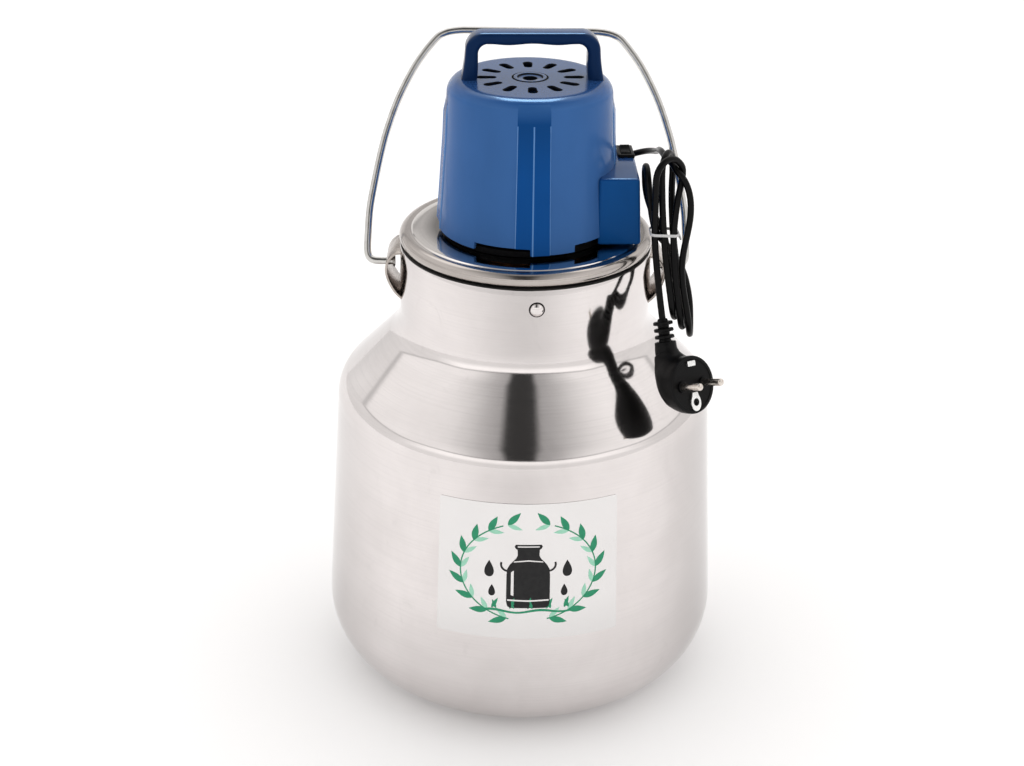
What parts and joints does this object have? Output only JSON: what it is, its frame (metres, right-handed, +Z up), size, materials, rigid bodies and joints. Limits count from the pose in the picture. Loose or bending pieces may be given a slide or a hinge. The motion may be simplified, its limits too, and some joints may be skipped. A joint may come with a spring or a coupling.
{
  "type": "electric churn can",
  "caption": "Polished steel can with a wire bail; a blue electric motor head on its lift-off lid turns an agitator in the can, with a switch and a tied mains lead with plug.",
  "frame": {"origin": "centre of the can's base, on the surface that it stands on", "axes": "+Z up along the can's axis, X along the bail's pivots, -Y towards the front with the label"},
  "size_m": [0.2794, 0.2794, 0.465],
  "materials": {
    "polished_steel": "polished",
    "bright_wire": "bright drawn wire",
    "label_print": "clear printed film",
    "black_rubber": "matte",
    "cast_alloy": "as cast",
    "blue_moulding": "glossy moulded",
    "black_moulding": "semi-gloss moulded",
    "cord_jacket": "semi-gloss extruded jacket",
    "tie_wire": "twisted tie",
    "capacitor_can": "drawn",
    "lamination_steel": "stacked sheet",
    "enamelled_copper": "enamelled windings",
    "nickelled_brass": "nickel plated"
  },
  "bodies": {
    "can": {"can_base": "polished_steel", "can_drum": "polished_steel", "can_shoulder": "polished_steel", "can_neck": "polished_steel", "ear_left": "polished_steel", "ear_right": "polished_steel", "neck_rivet": "polished_steel", "label_film": "label_print"},
    "bail": {"bail_handle": "bright_wire"},
    "head": {"lid": "polished_steel", "lid_gasket": "black_rubber", "seal_carrier": "cast_alloy", "shaft_seal": "black_rubber", "motor_housing": "blue_moulding", "bearing_cap": "blue_moulding", "carry_handle": "blue_moulding", "switch_box": "blue_moulding", "switch_bezel": "black_moulding", "cord_gland": "black_rubber", "run_capacitor": "capacitor_can", "motor_base": "cast_alloy", "motor_bolt_1": "bright_wire", "motor_bolt_2": "bright_wire", "motor_bolt_3": "bright_wire", "motor_bolt_4": "bright_wire", "stator_core": "lamination_steel", "winding_upper": "enamelled_copper", "winding_lower": "enamelled_copper", "upper_bearing": "bright_wire", "lower_bearing": "bright_wire", "power_cord_lead": "cord_jacket", "cord_hank": "cord_jacket", "cord_tie": "tie_wire", "cord_tail": "cord_jacket", "plug_body": "black_moulding", "plug_pin_1": "nickelled_brass", "plug_pin_2": "nickelled_brass", "plug_earth_top": "nickelled_brass", "plug_earth_bottom": "nickelled_brass"},
    "drive": {"motor_shaft": "bright_wire", "rotor_core": "lamination_steel", "cooling_fan": "black_moulding", "drive_coupling": "cast_alloy", "agitator_shaft": "polished_steel", "impeller": "polished_steel", "impeller_nut": "bright_wire"},
    "rocker": {"switch_rocker": "black_moulding"}
  },
  "joints": [
    {"name": "bail_swing", "type": "hinge", "parent": "can", "child": "bail", "pos_m": [0, 0, 0.303], "axis": [-1, 0, 0], "range_deg": [-48, 83]},
    {"name": "lid_lift", "type": "slide", "parent": "can", "child": "head", "axis": [0, 0, 1], "range_m": [0, 0.31]},
    {"name": "drive_spin", "type": "hinge", "parent": "head", "child": "drive", "pos_m": [0, 0, 0.2], "axis": [0, 0, 1], "continuous": true},
    {"name": "switch_rock", "type": "hinge", "parent": "head", "child": "rocker", "pos_m": [0.06612, 0.01568, 0.3755], "axis": [0.9986, 0.0523, 0], "range_deg": [-20, 0]}
  ]
}
